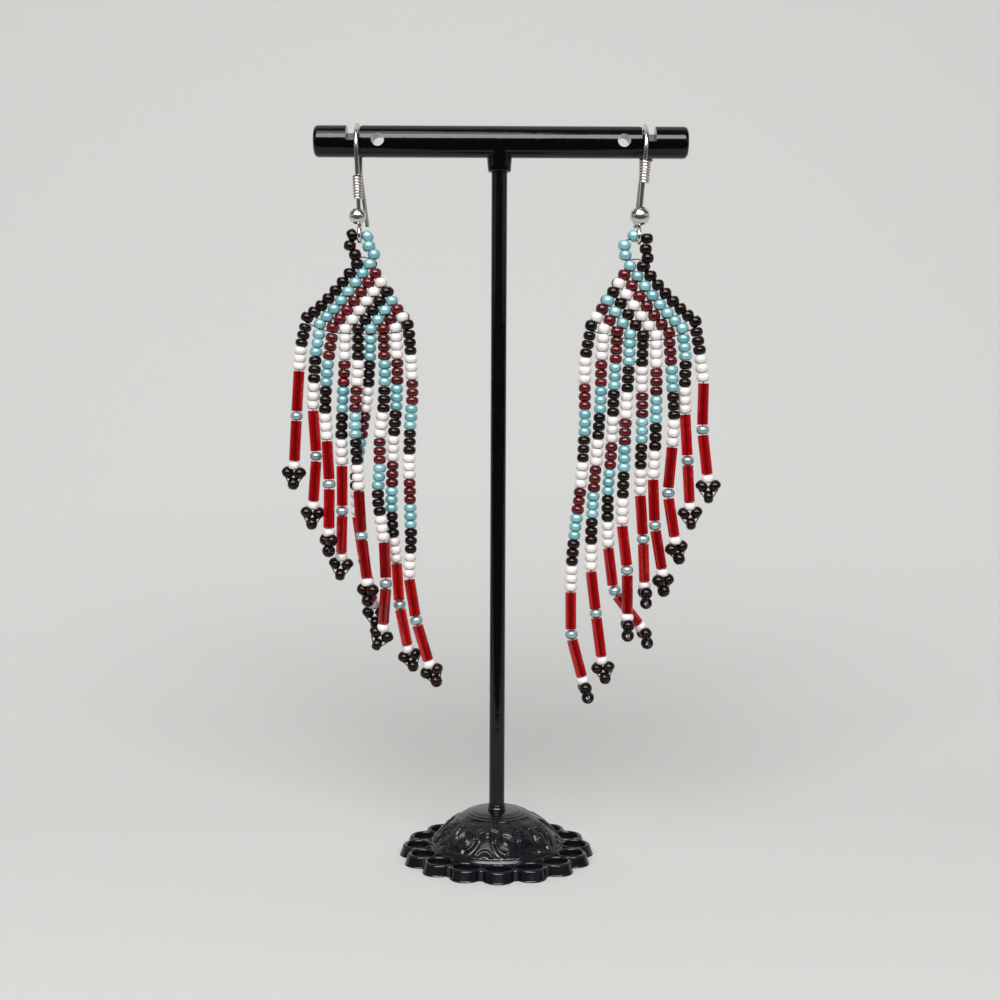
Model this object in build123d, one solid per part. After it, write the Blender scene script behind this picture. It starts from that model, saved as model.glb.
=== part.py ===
from build123d import *
from collections import namedtuple
from math import atan2, cos, pi, radians, sin, sqrt, tan
import os

# A pair of beaded fringe earrings hung on a small cast T-bar stand.
# Lengths are millimetres. The origin is the middle of the base, on the surface it stands on:
# +Z runs up the post, +X along the crossbar and -Y to the front of the display.

# Clearances
fit_clearance = 0.08        # between a post and its socket, all round
bead_clearance = 0.10       # between one bead and the next, or a bead and its thread's bend
hook_clearance = 0.15       # between a hook and the notch's edge that it hangs on

# Base: a domed casting in a ring of petals
rim_height = 2.0
petal_count = 16
petal_turn = 1.3            # the first petal, degrees to the right of the front
petal_ring_radius = 14.75   # circle through the middles of the petals
petal_radius = 2.95         # at the foot
petal_flare = 0.45          # how far the foot of a petal stands out past its top
rim_radius = 15.9           # foot of the disc that the petals grow from
hole_ring_radius = 14.3     # circle through the middles of the pierced ovals
hole_length = 4.0           # along the radius
hole_width = 4.6
dome_foot_radius = 12.2
dome_top_radius = 4.1       # the flat that the post stands in
dome_height = 8.4

# Relief cast on the dome
ripple_radii = (4.7, 5.5, 6.3)
ripple_wire = 0.16
medallion_count = 8
medallion_turn = 12.0       # the first medallion, degrees to the right of the front
medallion_rise = 46.5       # its middle, degrees above the dome's equator
medallion_rings = (0.7, 1.2, 1.7)
medallion_wire = 0.18
boss_radius = 0.35
crescent_rise = 36.5        # middle of each crescent, degrees above the equator
crescent_rings = (0.75, 1.3)
crescent_wire = 0.2

# Post and crossbar
post_diameter = 2.8
post_seat_depth = 4.0
collar_radius = 1.7
collar_height = 0.8
collar_round = 0.2
bar_axis_height = 128.8
bar_diameter = 5.6
bar_length = 66.3
bar_offset = 0.25           # the socket is cast a little left of the bar's middle
bar_end_round = 0.8
socket_length = 5.3         # from the bar's axis down to the socket's mouth
socket_top_radius = 2.45
socket_foot_radius = 2.02
socket_foot_round = 0.35
socket_bore_depth = 5.6
cross_hole_diameter = 2.3
cross_hole_inset = 11.45    # from the bar's end
notch_inset = 7.05          # from the bar's end to the middle of a notch
notch_width = 2.5
notch_floor_rise = 0.95     # above the bar's axis, at its middle
notch_floor_tilt = 22.0     # degrees, falling to the front
notch_chamfer = 0.45        # on the top corner nearer the post

# Ear hook: one wire with a round bend over the bar and an eye at its foot
wire_diameter = 0.8
bend_radius = 4.0           # to the middle of the wire
bend_back = 0.4             # middle of the bend behind the bar's axis
hook_in_notch = 0.73        # the hook nearer the post than the middle of its notch
eye_drop = 15.2             # below the middle of the bend, as the next two drops
tail_bend_drop = 4.0
tail_tip_drop = 13.3
tail_spread = 0.7           # the tip further back than the bend
tail_bend_round = 9.0
arc_margin = 0.01           # keeps a sliver of straight wire between the bend's two quarters
eye_diameter = 3.3          # outside
coil_length = 4.4
coil_turns = 8
ball_bore_diameter = 1.6

# Beads
seed_diameter = 2.1
seed_length = 1.5
seed_round = 0.3
bugle_length = 7.0
bugle_diameter = 2.0
bugle_bore_diameter = 0.8
thread_diameter = 0.3
thread_inset = 0.6          # where a picot's thread ends inside a bead, as a share of its half length
yoke_rows = 8               # row r holds r + 1 beads, so the last row carries nine strands
picot_side_reach = 1.2      # a side bead's middle, out from the thread
picot_side_drop = 0.55      # and below the white bead
picot_side_turn = 45.0      # how far a side bead's hole turns from the strand
picot_foot_drop = 2.7       # the bottom bead's middle below the white bead

# One earring of the pair, and how it hangs. eye_x and tail_x are places along the bar from the
# hook's bend, coil_drop is below the bend, and row_x and row_drop are from the eye to the yoke's
# top row. lift is how far the yoke's edge bead stands above its middle, curl the power that it
# rises by, and tuck draws the inner edge in.
Ear = namedtuple(
    "Ear",
    "name side eye_x tail_x ball_diameter ball_shift coil_drop coil_diameter "
    "row_x row_drift row_drop row_pitch bead_pitch outer_lift outer_curl inner_lift inner_curl inner_tuck",
)
ears = (
    Ear("left", -1, 0.27, 1.22, 3.0, -0.3, 4.9, 1.75,
        0.70, -0.137, 5.2, 1.65, 2.28, 2.05, 3.0, 0.82, 4.0, 0.3),
    Ear("right", 1, -0.75, -0.87, 3.5, 0.0, 2.0, 1.95,
        -0.51, 0.19, 5.45, 1.757, 2.33, 2.6, 2.2, 1.8, 1.3, 0.0),
)

# The bead loop that carries each yoke from its hook's eye: the thread's route up each side,
# across from the eye and above the yoke's top row, bottom point first.
loop_routes = {
    "left": {
        "outer": ((-0.75, 0.6), (-1.75, 2.2), (-1.8, 3.6), (-1.6, 4.9)),
        "inner": ((2.45, 0.6), (1.75, 2.2), (1.55, 3.6), (1.6, 4.9)),
    },
    "right": {
        "outer": ((1.4, 0.35), (1.45, 1.9), (1.85, 4.75)),
        "inner": ((-2.4, 0.45), (-2.8, 2.1), (-2.45, 3.55), (-1.6, 4.75)),
    },
}

# A strand, from the outer edge of its yoke inwards. route is the way of its seed beads from
# the yoke, as (right, back, down) from the point it leaves. lean and back are the two bugles'
# slopes in degrees, to the right and to the back, cut their lengths as shares of a bugle's,
# and fall, spin the picot's slope to the right and its turn about the thread.
Strand = namedtuple("Strand", "route lean back cut fall spin")
strands = {
    "left": (
        Strand(((-0.1, 0, 0), (-1.1, 0, 4.0), (-1.5, 0, 8.7)),
               (-3.4, -3.0), (0, 0), (1.03, 1.03), -3, 15),
        Strand(((0, 0, 0), (-0.8, 0.1, 4.6), (-1.15, 0.2, 9.5), (-1.35, 0.35, 14.5)),
               (4.0, -4.0), (0, 0), (1.04, 1.02), -5, -25),
        Strand(((0, 0, 0), (-0.75, -0.2, 4.8), (-1.2, -0.4, 9.6), (-1.35, -0.6, 14.4),
                (-1.0, -0.75, 19.4)),
               (2.8, -0.6), (0, -2), (0.98, 1.0), -1, 55),
        Strand(((0, 0, 0), (-0.2, 0.1, 6.1), (-0.55, 0.2, 12.2), (-0.8, 0.3, 18.2),
                (-0.75, 0.4, 23.7)),
               (0.2, -2.2), (0, 10), (1.03, 0.97), -5, 0),
        Strand(((0, 0, 0), (0.05, -0.8, 6.0), (-0.4, -0.9, 12.4), (-0.5, -1.1, 17.8),
                (-0.1, -1.15, 23.0), (0.15, -1.15, 28.1)),
               (3.4, 7.4), (0, -5), (1.03, 0.95), 0, 37),
        Strand(((0, 0, 0), (-0.3, 0.7, 5.6), (-0.7, 0.95, 10.6), (-1.4, 1.15, 15.8),
                (-2.3, 1.2, 20.9), (-2.9, 1.2, 26.4), (-2.6, 1.15, 32.8)),
               (8.0, 12.0), (0, 0), (1.03, 0.93), 4, 0),
        Strand(((0, 0, 0), (0.3, -0.4, 6.6), (0.1, -0.5, 12.9), (-0.65, -0.5, 18.6),
                (-0.65, -0.6, 23.9), (-1.05, -0.8, 29.1), (0.15, -1.1, 37.3)),
               (3.4, -4.5), (-8, 6), (0.91, 0.9), -24, 0),
        Strand(((0.05, 0, 0), (0.3, 0.4, 6.5), (0.1, 0.5, 13.1), (-0.45, 0.5, 19.1),
                (-0.65, 0.6, 25.1), (-0.85, 0.8, 30.9), (-0.6, 1.1, 36.5), (0.05, 1.2, 41.6)),
               (3.4, 10.6), (5, 5), (0.96, 0.95), 17, 15),
        Strand(((0.2, 0, 0), (0.7, -0.1, 5.5), (0.95, -0.2, 11.7), (0.5, -0.2, 17.5),
                (0.3, -0.3, 23.7), (0.5, -0.3, 30.7), (0.7, -0.4, 37.7), (0.35, -0.5, 44.7)),
               (9.4, 16.6), (0, 0), (0.95, 0.94), 24, 20),
    ),
    "right": (
        Strand(((0.05, 0, 0), (0.9, 0, 4.8), (1.6, 0, 10.0)),
               (-0.6, 7.0), (0, 0), (1.06, 1.01), 2, 10),
        Strand(((0.05, 0, 0), (0.75, 0.2, 4.6), (0.6, 0.3, 9.6), (0.75, 0.4, 14.5)),
               (3.8, 4.6), (0, 10), (1.05, 0.95), 5, 0),
        Strand(((0, 0, 0), (0.4, -0.2, 4.8), (0.8, -0.3, 9.8), (1.05, -0.4, 14.6),
                (0.75, -0.4, 19.6)),
               (-4.8, 9.4), (0, 0), (1.04, 0.98), 14, -27),
        Strand(((0, 0, 0), (0.15, 0.1, 6.3), (0.2, 0.2, 12.5), (0.1, 0.2, 18.7),
                (-0.25, 0.1, 24.9)),
               (2.8, 9.8), (0, 0), (1.06, 0.99), 3, -36),
        Strand(((0, 0, 0), (-0.2, -0.1, 5.4), (-0.05, -0.2, 11.2), (-0.05, -0.2, 16.8),
                (-0.2, -0.1, 22.2), (-0.2, 0, 27.7)),
               (4.2, 3.2), (0, 8), (1.0, 0.98), 6, 85),
        Strand(((-0.05, 0, 0), (-0.2, -0.1, 5.3), (-0.5, -0.2, 10.9), (-0.75, -0.3, 16.3),
                (-0.85, -0.4, 21.9), (-1.05, -0.5, 27.7), (-1.15, -0.6, 33.4)),
               (7.2, 0.6), (0, 0), (1.02, 0.98), 2, 88),
        Strand(((0, 0, 0), (-0.25, 0.1, 5.4), (-0.5, 0.2, 11.0), (-0.65, 0.3, 16.6),
                (-0.9, 0.4, 22.2), (-1.35, 0.6, 27.6), (-1.35, 0.8, 32.8), (-1.15, 1.1, 38.1)),
               (7.6, 37.6), (6, 6), (0.98, 0.92), 17, 80),
        Strand(((-0.1, 0, 0), (-0.5, -0.1, 5.7), (-0.5, -0.1, 11.7), (-0.85, 0, 17.7),
                (-1.25, 0.1, 23.7), (-1.75, 0, 29.7), (-2.0, -0.1, 36.1), (-2.0, -0.2, 42.7)),
               (7.0, 7.8), (0, 0), (0.97, 1.0), 11, 27),
        Strand(((-0.1, 0, 0), (-1.05, 0.1, 5.2), (-1.05, 0.1, 11.0), (-0.95, 0, 17.0),
                (-1.3, -0.1, 23.2), (-1.75, -0.2, 29.2), (-2.55, -0.2, 35.2), (-3.1, -0.3, 41.0),
                (-3.3, -0.3, 47.1)),
               (0.6, 14.8), (0, 0), (0.96, 0.98), 17, 86),
    ),
}


# A round bar from one point to another
def rod(start, end, radius):
    length = (end - start).length
    upright = Cylinder(radius, length, align=(Align.CENTER, Align.CENTER, Align.MIN))
    return Plane(origin=start, z_dir=end - start) * upright


# A seed bead's barrel from one end of its hole to the other, still solid for its thread
def bead(start, end):
    barrel = rod(start, end, seed_diameter / 2)
    return chamfer(barrel.edges().filter_by(GeomType.CIRCLE), seed_round)


# A direction that hangs down but for a slope to the right and one to the back
def hanging(lean, back):
    level = cos(radians(back))
    return Vector(sin(radians(lean)) * level, sin(radians(back)), -cos(radians(lean)) * level)


# From the thread's bend to the end of a bead beside it, so that the two rims stay clear
def bend_allowance(before, after, radius):
    half_turn = radians(before.get_angle(after)) / 2
    return bead_clearance / 2 / cos(half_turn) + radius * tan(half_turn)


# A path of straight runs joined by arcs, each as large as its two runs allow
def rounded_path(points):
    radii = []
    for before, corner, after in zip(points, points[1:], points[2:]):
        run_in, run_out = corner - before, after - corner
        half_turn = radians(run_in.get_angle(run_out)) / 2
        radii.append(0.45 * min(run_in.length, run_out.length) / tan(half_turn))
    return FilletPolyline(*points, radius=radii), radii


# A round tube along a path
def tube(path, radius):
    return sweep(Plane(origin=path @ 0, z_dir=path % 0) * Circle(radius), path=path)


# The dome's own sphere, through its foot and the edge of its flat top
dome_wall = dome_height - rim_height
dome_centre_z = (
    dome_height ** 2 + dome_top_radius ** 2 - rim_height ** 2 - dome_foot_radius ** 2
) / 2 / dome_wall
dome_radius = sqrt(dome_foot_radius ** 2 + (rim_height - dome_centre_z) ** 2)


# A place on the dome, turned to the right of the front and raised above the equator
def dome_place(turn, rise):
    out = Vector(sin(radians(turn)) * cos(radians(rise)),
                 -cos(radians(turn)) * cos(radians(rise)), sin(radians(rise)))
    across = Vector(cos(radians(turn)), sin(radians(turn)), 0)
    return Plane(origin=(0, 0, dome_centre_z), x_dir=across, z_dir=out)


# A raised ring that lies on the dome round such a place
def dome_ring(place, radius, wire):
    depth = sqrt(dome_radius ** 2 - radius ** 2)
    return place * Pos(0, 0, depth) * Torus(radius, wire)


def stand_base():
    step = 360 / petal_count
    disc = Cone(rim_radius, rim_radius - petal_flare, rim_height,
                align=(Align.CENTER, Align.CENTER, Align.MIN))
    petal = Cone(petal_radius, petal_radius - petal_flare, rim_height,
                 align=(Align.CENTER, Align.CENTER, Align.MIN))
    turns = [step * n + petal_turn - 90 for n in range(petal_count)]
    rim = disc + [Rot(0, 0, turn) * Pos(petal_ring_radius, 0, 0) * petal for turn in turns]
    oval = extrude(Ellipse(hole_length / 2, hole_width / 2), rim_height)
    rim -= [Rot(0, 0, turn) * Pos(hole_ring_radius, 0, 0) * oval for turn in turns]

    keep = Pos(0, 0, rim_height) * Cylinder(dome_foot_radius, dome_wall,
                                            align=(Align.CENTER, Align.CENTER, Align.MIN))
    dome = Pos(0, 0, dome_centre_z) * Sphere(dome_radius) & keep
    collar = Pos(0, 0, dome_height) * Cylinder(collar_radius, collar_height,
                                               align=(Align.CENTER, Align.CENTER, Align.MIN))
    collar = chamfer(collar.edges().group_by(Axis.Z)[-1], collar_round)

    relief = []
    for radius in ripple_radii:
        height = dome_centre_z + sqrt(dome_radius ** 2 - radius ** 2)
        relief.append(Pos(0, 0, height) * Torus(radius, ripple_wire))
    pitch = 360 / medallion_count
    for n in range(medallion_count):
        middle = dome_place(medallion_turn + pitch * n, medallion_rise)
        relief += [dome_ring(middle, radius, medallion_wire) for radius in medallion_rings]
        relief.append(middle * Pos(0, 0, dome_radius - boss_radius / 2) * Sphere(boss_radius))
        foot = dome_place(medallion_turn + pitch * (n + 0.5), crescent_rise)
        side = 4 * crescent_rings[-1]
        upper = foot * Pos(0, side / 2, dome_radius) * Box(side, side, side)
        relief += [dome_ring(foot, radius, crescent_wire) & upper for radius in crescent_rings]

    seat = Pos(0, 0, dome_height + collar_height - post_seat_depth) * Cylinder(
        post_diameter / 2 + fit_clearance, post_seat_depth,
        align=(Align.CENTER, Align.CENTER, Align.MIN))
    return rim + dome + collar + relief - seat


def stand_post():
    foot = dome_height + collar_height - post_seat_depth + fit_clearance
    top = bar_axis_height - socket_length + socket_bore_depth - fit_clearance
    return Pos(0, 0, foot) * Cylinder(post_diameter / 2, top - foot,
                                      align=(Align.CENTER, Align.CENTER, Align.MIN))


# The middle of a notch along the bar
def notch_middle(side):
    return bar_offset + side * (bar_length / 2 - notch_inset)


def stand_crossbar():
    bar = Pos(bar_offset, 0, bar_axis_height) * Rot(0, 90, 0) * Cylinder(bar_diameter / 2, bar_length)
    bar = fillet(bar.edges().filter_by(GeomType.CIRCLE), bar_end_round)

    mouth = bar_axis_height - socket_length
    socket = Pos(0, 0, mouth) * Cone(socket_foot_radius, socket_top_radius, socket_length,
                                     align=(Align.CENTER, Align.CENTER, Align.MIN))
    socket = fillet(socket.edges().group_by(Axis.Z)[0], socket_foot_round)
    bore = Pos(0, 0, mouth) * Cylinder(post_diameter / 2 + fit_clearance, socket_bore_depth,
                                       align=(Align.CENTER, Align.CENTER, Align.MIN))
    bar = bar + socket - bore

    for side in (-1, 1):
        hole_x = bar_offset + side * (bar_length / 2 - cross_hole_inset)
        bar -= Pos(hole_x, 0, bar_axis_height) * Rot(90, 0, 0) * Cylinder(
            cross_hole_diameter / 2, 2 * bar_diameter)

        # The notch is a slot whose floor falls to the front, with its inner top corner cut off
        notch_x = notch_middle(side)
        slot = Box(notch_width, 3 * bar_diameter, bar_diameter,
                   align=(Align.CENTER, Align.CENTER, Align.MIN))
        bar -= Pos(notch_x, 0, bar_axis_height + notch_floor_rise) * Rot(notch_floor_tilt, 0, 0) * slot
        corner = Vector(notch_x - side * notch_width / 2, 0, bar_axis_height + bar_diameter / 2)
        bar -= Pos(corner) * Rot(0, 45, 0) * Box(notch_chamfer * sqrt(2), 2 * bar_diameter,
                                                notch_chamfer * sqrt(2))
    return bar


# The middle of a hook's bend, hung on the back edge of its notch's floor
def bend_place(ear):
    fall = tan(radians(notch_floor_tilt))
    half_run = notch_floor_rise * fall
    square = 1 + fall ** 2
    corner_reach = (bar_diameter / 2) ** 2 - notch_floor_rise ** 2
    edge_y = (sqrt(half_run ** 2 + square * corner_reach) - half_run) / square
    edge_z = bar_axis_height + notch_floor_rise + edge_y * fall
    reach = bend_radius - wire_diameter / 2 - hook_clearance
    rise = sqrt(reach ** 2 - (edge_y - bend_back) ** 2)
    return Vector(notch_middle(ear.side) - ear.side * hook_in_notch, bend_back, edge_z - rise)


def eye_place(ear):
    return Vector(bend_place(ear).X + ear.eye_x, 0, bend_place(ear).Z - eye_drop)


# The front leg: its foot on the eye, and where it runs into the bend as a tangent
def leg_line(ear):
    foot = eye_place(ear) + Vector(0, 0, (eye_diameter - wire_diameter) / 2)
    bend = bend_place(ear)
    away_y, away_z = bend.Y - foot.Y, bend.Z - foot.Z
    reach = sqrt(away_y ** 2 + away_z ** 2 - bend_radius ** 2)
    slope = atan2(away_y, away_z) - atan2(bend_radius, reach)
    return foot, Vector(bend.X, foot.Y + reach * sin(slope), foot.Z + reach * cos(slope))


def ear_hook(ear):
    foot, top = leg_line(ear)
    bend = bend_place(ear)
    along = (top - foot).normalized()
    front_corner = top + along * ((bend.Z + bend_radius - top.Z) / along.Z)
    back_corner = bend + Vector(0, bend_radius, bend_radius)
    tail_bend = bend + Vector(0, bend_radius, -tail_bend_drop)
    tail_tip = bend + Vector(ear.tail_x, bend_radius + tail_spread, -tail_tip_drop)
    round_bend = bend_radius - arc_margin
    path = FilletPolyline(foot, front_corner, back_corner, tail_bend, tail_tip,
                          radius=[round_bend, round_bend, tail_bend_round])
    eye = Pos(eye_place(ear)) * Rot(0, 90, 0) * Torus((eye_diameter - wire_diameter) / 2,
                                                     wire_diameter / 2)
    return tube(path, wire_diameter / 2) + eye


# The wire coil wound on the leg, as a sleeve with a rib for each turn
def hook_coil(ear):
    foot, top = leg_line(ear)
    along = (top - foot).normalized()
    upper = foot + along * ((bend_place(ear).Z - ear.coil_drop - foot.Z) / along.Z)
    lower = upper - along * coil_length
    inner = wire_diameter / 2 + fit_clearance / 2
    outer = ear.coil_diameter / 2
    rib = coil_length / coil_turns
    wire = (outer - inner) / 2
    profile = Polyline((inner, 0), (inner + wire, 0))
    for n in range(coil_turns):
        profile += ThreePointArc((inner + wire, rib * n), (outer, rib * (n + 0.5)),
                                 (inner + wire, rib * (n + 1)))
    profile += Polyline((inner + wire, coil_length), (inner, coil_length), (inner, 0))
    sleeve = revolve(Plane.XZ * make_face(profile), Axis.Z)
    return Plane(origin=lower, z_dir=along) * sleeve


def hook_ball(ear):
    foot, top = leg_line(ear)
    along = (top - foot).normalized()
    middle = foot + along * (wire_diameter / 2 + bead_clearance + ear.ball_diameter / 2)
    middle += Vector(ear.ball_shift, 0, 0)
    bore = Cylinder(ball_bore_diameter / 2, 2 * ear.ball_diameter)
    return Plane(origin=middle, z_dir=along) * (Sphere(ear.ball_diameter / 2) - bore)


# The middle of a bead in the yoke: row from 1 at the top, column from 0 at the inner edge
def yoke_bead(ear, row, column):
    place = column - row / 2
    lower = row - 1
    eye = eye_place(ear)
    x = eye.X + ear.row_x + ear.row_drift * lower + ear.side * ear.bead_pitch * place
    z = eye.Z - ear.row_drop - ear.row_pitch * lower
    share = abs(place) / (yoke_rows / 2)
    if place > 0:
        z += ear.outer_lift * share ** ear.outer_curl
    else:
        z += ear.inner_lift * share ** ear.inner_curl
        x += ear.side * ear.inner_tuck * share ** 3
    return Vector(x, 0, z)


# The woven yoke: a bead-thick band whose edges step out by half a bead a row
def beaded_yoke(ear):
    rows = [[yoke_bead(ear, row, column) for column in range(row + 1)]
            for row in range(1, yoke_rows + 1)]
    outline = [row[0] for row in rows] + rows[-1][1:] + [row[-1] for row in reversed(rows[:-1])]
    band = Plane.XZ * make_face(Polyline(*[(p.X, p.Z) for p in outline], close=True))
    solid = extrude(band, seed_diameter / 2, both=True)
    block = Box(seed_diameter, seed_diameter, seed_length)
    return solid + [Pos(middle) * block for row in rows for middle in row]


# The loop that hangs the yoke in the eye: a run of beads up each side and the thread between
def bead_loop(ear):
    crown = yoke_bead(ear, 1, 0).Z + seed_length / 2
    saddle = eye_place(ear) - Vector(0, 0, eye_diameter / 2 - wire_diameter - thread_diameter)
    loop = Pos(saddle) * Sphere(thread_diameter / 2)
    for route in loop_routes[ear.name].values():
        points = [Vector(eye_place(ear).X + across, 0, crown + up) for across, up in route]
        path, radii = rounded_path(points)
        loop += tube(path, seed_diameter / 2) + rod(points[-1], saddle, thread_diameter / 2)
    return loop


# Three beads on a small loop of thread below a strand, starting from the white bead's end
def picot(start, fall, spin):
    down = hanging(fall, 0)
    right = Vector(-down.Z, 0, down.X)
    across = right * cos(radians(spin)) - Vector(0, sin(radians(spin)), 0)
    inner = start - down * thread_diameter
    foot = start + down * picot_foot_drop
    half_foot = across * (seed_length / 2)
    solid = bead(foot - half_foot, foot + half_foot)
    for side in (-1, 1):
        middle = start + across * (side * picot_side_reach) + down * picot_side_drop
        turn = radians(picot_side_turn)
        half = (across * (side * sin(turn)) + down * cos(turn)) * (seed_length / 2)
        solid += bead(middle - half, middle + half)
        # The thread's ends lie inside the beads that it joins
        solid += rod(inner, middle - half * thread_inset, thread_diameter / 2)
        solid += rod(middle + half * thread_inset, foot + half_foot * (side * thread_inset),
                     thread_diameter / 2)
    return solid


# One strand: the string with its seed beads and thread, and the two bugles it runs through
def strand(ear, number):
    row = strands[ear.name][number - 1]
    down = Vector(0, 0, -1)
    top = yoke_bead(ear, yoke_rows, yoke_rows + 1 - number) + down * (seed_length / 2)
    points = [top + Vector(right, back, -drop) for right, back, drop in row.route]
    first = (points[1] - points[0]).normalized()
    points[0] += first * (2 * bend_allowance(down, first, seed_diameter / 2))
    path, radii = rounded_path(points)
    string = tube(path, seed_diameter / 2)
    print(ear.name, number, "bend radii", [round(radius) for radius in radii],
          "volume / (section x length)", round(string.volume / path.length / seed_area, 4))

    slopes = [hanging(lean, back) for lean, back in zip(row.lean, row.back)]
    lengths = [bugle_length * share for share in row.cut]
    middle = (slopes[0] + slopes[1]).normalized()
    chain = (
        ("bugle", slopes[0], lengths[0]),
        ("bead", middle, seed_length),
        ("bugle", slopes[1], lengths[1]),
        ("bead", slopes[1], seed_length),
    )
    end, heading = points[-1], (points[-1] - points[-2]).normalized()
    bends, bugles = [end], []
    for kind, slope, length in chain:
        reach = bend_allowance(heading, slope, seed_diameter / 2)
        bends.append(end + heading * reach)
        start = bends[-1] + slope * reach
        end, heading = start + slope * length, slope
        if kind == "bead":
            string += bead(start, end)
        else:
            bugles.append(rod(start, end, bugle_diameter / 2) - rod(start, end, bugle_bore_diameter / 2))
    for above, below in zip(bends, bends[1:] + [end]):
        string += rod(above, below, thread_diameter / 2)
    return string + picot(end, row.fall, row.spin), Compound(bugles)


seed_area = pi * (seed_diameter / 2) ** 2
nodes = {
    "stand_base": stand_base(),
    "stand_post": stand_post(),
    "stand_crossbar": stand_crossbar(),
}
for ear in ears:
    nodes[f"{ear.name}_ear_hook"] = ear_hook(ear)
    nodes[f"{ear.name}_hook_coil"] = hook_coil(ear)
    nodes[f"{ear.name}_hook_ball"] = hook_ball(ear)
    nodes[f"{ear.name}_bead_loop"] = bead_loop(ear)
    nodes[f"{ear.name}_beaded_yoke"] = beaded_yoke(ear)
    for number in range(1, yoke_rows + 2):
        string, bugles = strand(ear, number)
        nodes[f"{ear.name}_strand_{number}"] = string
        nodes[f"{ear.name}_bugles_{number}"] = bugles

os.makedirs("parts", exist_ok=True)
for name, shape in nodes.items():
    export_step(shape, f"parts/{name}.step")
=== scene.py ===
import bpy
import bmesh
import random
from math import asin, atan2, cos, degrees, hypot, pi, radians, sin, sqrt, tan
from mathutils import Matrix, Vector


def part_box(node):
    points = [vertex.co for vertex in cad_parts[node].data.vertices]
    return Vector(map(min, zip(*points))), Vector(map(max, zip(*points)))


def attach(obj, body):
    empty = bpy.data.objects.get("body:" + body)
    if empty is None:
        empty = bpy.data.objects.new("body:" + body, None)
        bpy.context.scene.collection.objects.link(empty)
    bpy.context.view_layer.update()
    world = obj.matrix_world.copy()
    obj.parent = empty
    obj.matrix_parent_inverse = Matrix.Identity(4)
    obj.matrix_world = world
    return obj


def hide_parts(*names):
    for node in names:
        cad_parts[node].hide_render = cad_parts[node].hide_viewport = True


# Beaded fringe earrings on a black T-bar stand: the looks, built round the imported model.
# Sizes are millimetres until a piece is finished, when it is brought to metres.
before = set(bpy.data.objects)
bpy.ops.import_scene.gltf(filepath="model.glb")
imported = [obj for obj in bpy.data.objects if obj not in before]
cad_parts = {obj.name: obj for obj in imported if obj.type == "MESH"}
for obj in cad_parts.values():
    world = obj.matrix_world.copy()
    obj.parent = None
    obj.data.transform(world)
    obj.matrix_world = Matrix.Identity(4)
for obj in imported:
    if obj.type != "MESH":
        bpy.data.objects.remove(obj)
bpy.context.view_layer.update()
mm = 0.001
weld = 0.0005                 # points nearer than this are one
scene = bpy.context.scene
up = Vector((0, 0, 1))

# Camera: about level with the middle of the fringe, and close enough for a little perspective
cameraView = {
    "place": (0.355, -270.0, 84.0),
    "pitch": 86.0,            # 90 looks level
    "roll": 0.25,
    "lens": 54.0,
    "sensor": 36.0,
    "nearest": 10.0,
}

# Backdrop: one sheet of off-white paper that ends in front of the stand and is curved up behind
backdrop = {
    "halfWidth": 900.0,
    "front": -112.0,
    "bendStart": 24.0,
    "bendRadius": 380.0,
    "bendSteps": 24,
    "wallHeight": 60.0,
    "colour": "#b5b5b3",
    "roughness": 0.9,
    "grainSize": 1.4,         # tooth of the paper
    "grainDepth": 0.03,
}

# Light: a large oval soft box above the camera, a dimmer one high behind the paper for its floor, a
# small one over the dome, a dim ceiling and a pale card at each side, in a dark room
lights = {
    "key": {"place": (-15.0, -870.0, 705.0), "aim": (0.0, 0.0, 90.0),
            "size": (1575.0, 525.0), "power": 23.4},
    "back": {"place": (0.0, 520.0, 950.0), "aim": (0.0, 60.0, 0.0),
             "size": (2400.0, 1100.0), "power": 3.7},
    "ceiling": {"place": (0.0, 0.0, 900.0), "aim": (0.0, 0.0, 0.0),
                "size": (1100.0, 900.0), "power": 0.2},
    "dome": {"place": (-85.0, -210.0, 450.0), "aim": (0.0, 0.0, 5.0),
             "size": (230.0, 170.0), "power": 0.36},
    "leftCard": {"place": (-520.0, -120.0, 225.0), "aim": (0.0, 0.0, 225.0),
                 "size": (700.0, 200.0), "power": 0.14},
    "rightCard": {"place": (520.0, -120.0, 225.0), "aim": (0.0, 0.0, 225.0),
                  "size": (700.0, 200.0), "power": 0.18},
}
room = {"colour": "#eef0f2", "strength": 0.07}


# Colour given as sRGB hex, as the shader wants it
def linear(hexColour):
    shares = [int(hexColour[i:i + 2], 16) / 255 for i in (1, 3, 5)]
    return tuple(s / 12.92 if s <= 0.04045 else ((s + 0.055) / 1.055) ** 2.4 for s in shares) + (1.0,)


# A shader node with its settings, and its inputs as values or as the sockets that feed them
def addNode(material, kind, settings=None, **inputs):
    tree = material.node_tree
    node = tree.nodes.new(kind)
    for name, value in (settings or {}).items():
        setattr(node, name, value)
    for name, value in inputs.items():
        socket = node.inputs[int(name[2:])] if name.startswith("in") else node.inputs[name.replace("_", " ")]
        if isinstance(value, bpy.types.NodeSocket):
            tree.links.new(value, socket)
        else:
            socket.default_value = value
    return node


# A material with its own principled shader
def newMaterial(name, **values):
    material = bpy.data.materials.new(name)
    material.use_nodes = True
    shader = material.node_tree.nodes["Principled BSDF"]
    for socket, value in values.items():
        shader.inputs[socket.replace("_", " ")].default_value = value
    return material, shader


# Noise on the piece's own place, with a grain size in millimetres
def grain(material, size, detail=2.0, stretch=(1, 1, 1)):
    place = addNode(material, "ShaderNodeTexCoord").outputs["Object"]
    turned = addNode(material, "ShaderNodeMapping", Vector=place, Scale=stretch)
    return addNode(material, "ShaderNodeTexNoise", Vector=turned.outputs["Vector"],
                   Scale=1 / (size * mm), Detail=detail).outputs["Fac"]


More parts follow.
